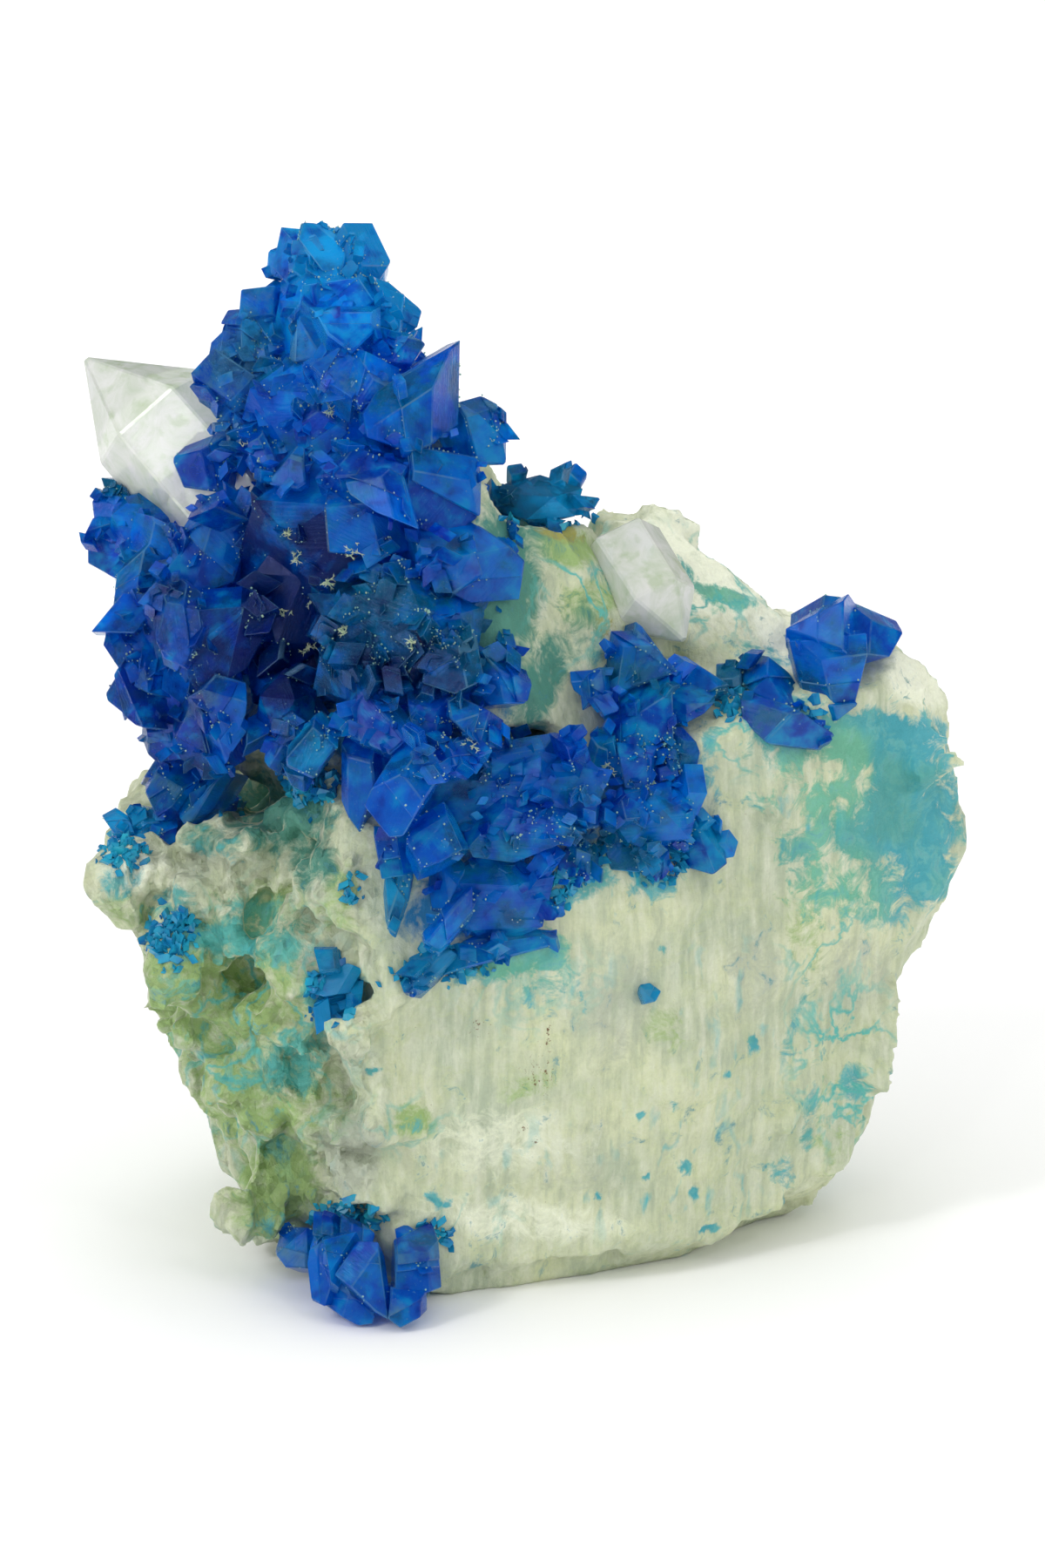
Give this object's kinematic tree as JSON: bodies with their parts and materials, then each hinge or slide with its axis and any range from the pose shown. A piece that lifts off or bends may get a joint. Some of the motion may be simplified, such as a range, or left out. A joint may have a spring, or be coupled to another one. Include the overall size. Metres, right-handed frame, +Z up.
{
  "type": "chalcanthite crystal specimen",
  "caption": "Loose rock specimen: a tall fused cluster of blue chalcanthite crystals, smaller clusters and two pale quartz crystals on a broken quartz rock with a flat foot.",
  "frame": {"origin": "on the rock's flat foot, where it stands, near the middle of the rock", "axes": "+Z up, +X to the right and +Y to the back when the crystal side is looked at"},
  "size_m": [0.1025, 0.0758, 0.1204],
  "materials": {
    "quartz rock": "rough",
    "clear quartz": "satin",
    "chalcanthite": "gloss"
  },
  "bodies": {
    "root": {"matrix_rock": "quartz rock", "quartz_point": "clear quartz", "quartz_crystal_right": "clear quartz", "chalcanthite_main_cluster": "chalcanthite", "chalcanthite_back_druse": "chalcanthite", "chalcanthite_shoulder_cluster": "chalcanthite", "chalcanthite_foot_cluster": "chalcanthite", "chalcanthite_pocket_cluster": "chalcanthite", "chalcanthite_crevice_cluster": "chalcanthite", "chalcanthite_drop_crystal": "chalcanthite"}
  },
  "joints": []
}
